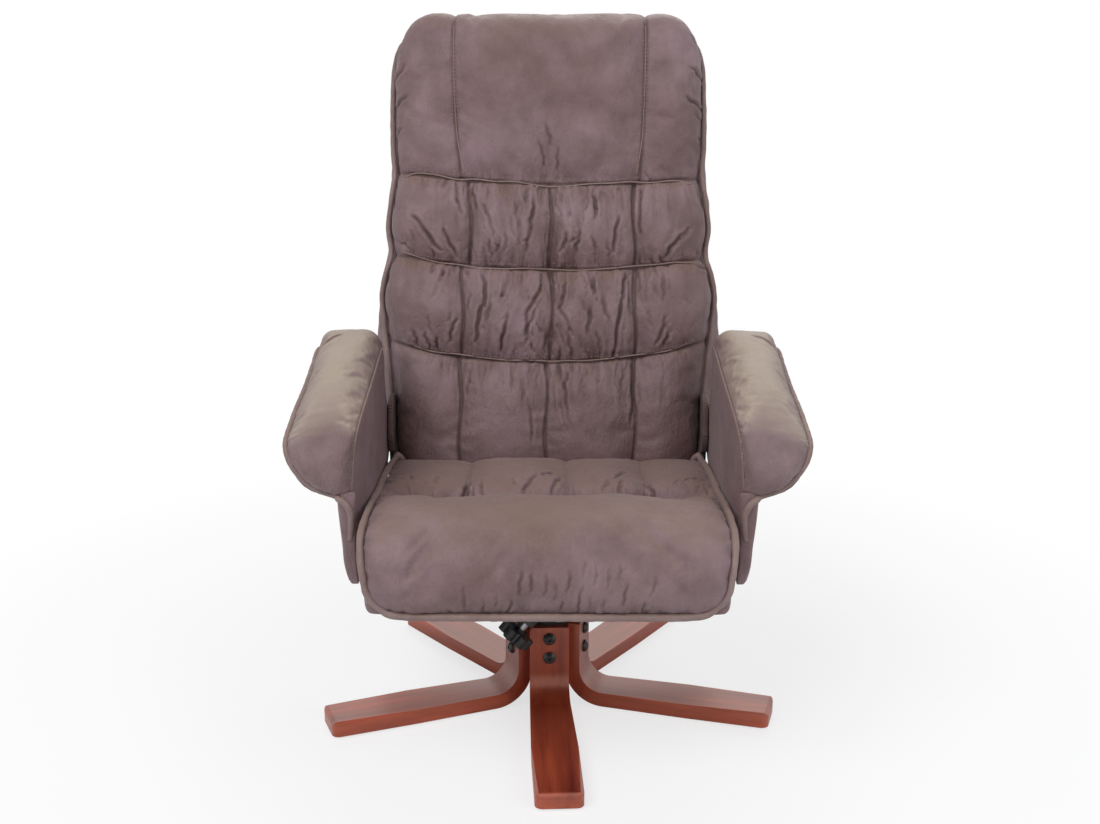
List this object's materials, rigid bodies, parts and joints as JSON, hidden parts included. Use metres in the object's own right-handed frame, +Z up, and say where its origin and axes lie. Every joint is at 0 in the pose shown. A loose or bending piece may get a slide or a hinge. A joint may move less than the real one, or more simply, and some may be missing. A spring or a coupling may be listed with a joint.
{
  "type": "swivel recliner",
  "caption": "Upholstered swivel recliner with winged arms and tufted cushions on a bentwood star base; the back reclines as the seat glides forward.",
  "frame": {"origin": "the swivel axis on the floor", "axes": "+Z up, the chair faces -Y, +X is on the sitter's left"},
  "size_m": [0.752, 0.8231, 1.0766],
  "materials": {
    "upholstery": "matt suede-like synthetic leather",
    "leg_wood": "semi-gloss cherry lacquer",
    "black_steel": "satin black powder coat",
    "bright_steel": "zinc plated",
    "black_plastic": "moulded, fine grain",
    "plain_wood": "bare plywood and pine",
    "black_webbing": "woven, matt"
  },
  "bodies": {
    "base": {"leg_front": "leg_wood", "leg_left_front": "leg_wood", "leg_left_rear": "leg_wood", "leg_right_rear": "leg_wood", "leg_right_front": "leg_wood", "leg_bolts": "black_steel", "leg_glides": "black_plastic", "hub_block": "black_steel", "hub_top_plate": "black_steel", "swivel_bushes": "black_plastic", "bearing_race_lower": "bright_steel", "bearing_cage": "black_plastic", "bearing_balls": "bright_steel"},
    "carriage": {"swivel_spindle": "bright_steel", "spindle_washer": "bright_steel", "spindle_clip": "bright_steel", "bearing_race_upper": "bright_steel", "swivel_plate": "black_steel", "chassis_cheek_left": "black_steel", "chassis_cheek_right": "black_steel", "front_beam": "black_steel", "rear_beam": "black_steel", "rail_saddles": "black_steel", "glide_rail_left": "bright_steel", "glide_rail_right": "bright_steel", "clamp_boss": "black_steel", "arm_bracket_left": "black_steel", "arm_bracket_right": "black_steel", "arm_board_left": "plain_wood", "arm_board_right": "plain_wood", "arm_wing_left": "upholstery", "arm_wing_right": "upholstery", "arm_inner_pad_left": "upholstery", "arm_inner_pad_right": "upholstery", "arm_outer_pad_left": "upholstery", "arm_outer_pad_right": "upholstery", "arm_bolts": "bright_steel", "pivot_bushes": "black_plastic"},
    "seat": {"seat_frame": "plain_wood", "seat_webbing": "black_webbing", "dust_cover": "black_webbing", "seat_cushion": "upholstery", "seat_runner_left": "bright_steel", "seat_runner_right": "bright_steel", "slide_blocks": "black_plastic", "clamp_bar": "black_steel", "cross_straps": "black_steel", "link_post_left": "black_steel", "link_post_right": "black_steel"},
    "back": {"back_frame": "black_steel", "back_webbing": "black_webbing", "back_cushion": "upholstery", "back_shell": "upholstery", "pivot_plate_left": "black_steel", "pivot_plate_right": "black_steel", "pivot_bolts": "bright_steel"},
    "clamp_foot": {"clamp_pad": "bright_steel"},
    "clamp_screw": {"clamp_stud": "bright_steel", "star_knob": "black_plastic"}
  },
  "joints": [
    {"name": "swivel", "type": "hinge", "parent": "base", "child": "carriage", "pos_m": [0, 0, 0], "axis": [0, 0, 1], "continuous": true},
    {"name": "recline", "type": "hinge", "parent": "carriage", "child": "back", "pos_m": [0, 0.165, 0.43], "axis": [-1, 0, 0], "range_deg": [0, 35]},
    {"name": "seat_glide", "type": "slide", "parent": "carriage", "child": "seat", "axis": [0, -0.9903, 0.1392], "range_m": [0, 0.06]},
    {"name": "pad_slide", "type": "slide", "parent": "carriage", "child": "clamp_foot", "axis": [0.656, 0.105, 0.7474], "range_m": [-0.003, 0]},
    {"name": "knob_turn", "type": "hinge", "parent": "clamp_foot", "child": "clamp_screw", "pos_m": [-0.05, -0.09, 0.145], "axis": [0.656, 0.105, 0.7474], "range_deg": [-720, 0]}
  ],
  "couplings": [
    {"joint": "seat_glide", "follows": "recline", "m_per_rad": 0.098},
    {"joint": "pad_slide", "follows": "knob_turn", "m_per_rad": 0.0002387}
  ]
}
